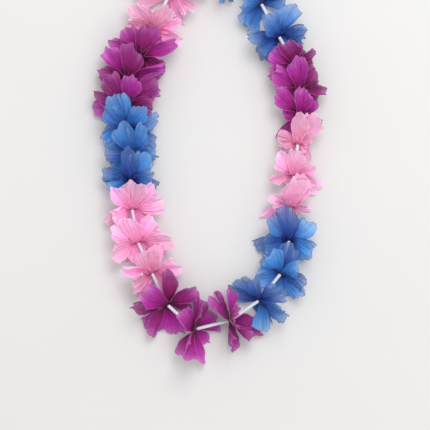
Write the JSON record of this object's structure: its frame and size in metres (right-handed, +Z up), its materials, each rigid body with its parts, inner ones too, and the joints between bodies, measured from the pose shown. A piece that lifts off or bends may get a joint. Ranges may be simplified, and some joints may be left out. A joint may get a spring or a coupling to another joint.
{
  "type": "artificial flower lei",
  "caption": "Lei of ruffled fabric blooms in purple, blue and pink runs, threaded on a closed string with short straws between them, laid flat in its loop.",
  "frame": {"origin": "middle of the loop's bounding box, on the surface that the lei lies on", "axes": "+Z up off the surface; +Y from the bottom of the loop, which hangs lowest on the chest, to the nape; +X to the right seen from above"},
  "size_m": [0.2486, 0.4447, 0.0524],
  "materials": {
    "purple_petal": "sheer pressed fabric, magenta purple, darker at the root and where petals lie over one another",
    "blue_petal": "sheer pressed fabric, mid blue, paler at the edge",
    "pink_petal": "sheer pressed fabric, light pink, stronger pink at the root",
    "straw": "translucent white, smooth",
    "string": "white twisted thread, matt"
  },
  "bodies": {
    "root": {"string": "string", "bloom_01_purple": "purple_petal", "straw_01": "straw", "bloom_02_purple": "purple_petal", "straw_02": "straw", "bloom_03_purple": "purple_petal", "straw_03": "straw", "bloom_04_blue": "blue_petal", "straw_04": "straw", "bloom_05_blue": "blue_petal", "straw_05": "straw", "bloom_06_blue": "blue_petal", "straw_06": "straw", "bloom_07_pink": "pink_petal", "straw_07": "straw", "bloom_08_pink": "pink_petal", "straw_08": "straw", "bloom_09_pink": "pink_petal", "straw_09": "straw", "bloom_10_purple": "purple_petal", "straw_10": "straw", "bloom_11_purple": "purple_petal", "straw_11": "straw", "bloom_12_purple": "purple_petal", "straw_12": "straw", "bloom_13_blue": "blue_petal", "straw_13": "straw", "bloom_14_blue": "blue_petal", "straw_14": "straw", "bloom_15_blue": "blue_petal", "straw_15": "straw", "bloom_16_pink": "pink_petal", "straw_16": "straw", "bloom_17_pink": "pink_petal", "straw_17": "straw", "bloom_18_pink": "pink_petal", "straw_18": "straw", "bloom_19_purple": "purple_petal", "straw_19": "straw", "bloom_20_purple": "purple_petal", "straw_20": "straw", "bloom_21_purple": "purple_petal", "straw_21": "straw", "bloom_22_blue": "blue_petal", "straw_22": "straw", "bloom_23_blue": "blue_petal", "straw_23": "straw", "bloom_24_blue": "blue_petal", "bloom_25_pink": "pink_petal", "straw_25": "straw", "bloom_26_pink": "pink_petal", "straw_26": "straw", "bloom_27_pink": "pink_petal", "straw_27": "straw"}
  },
  "joints": []
}
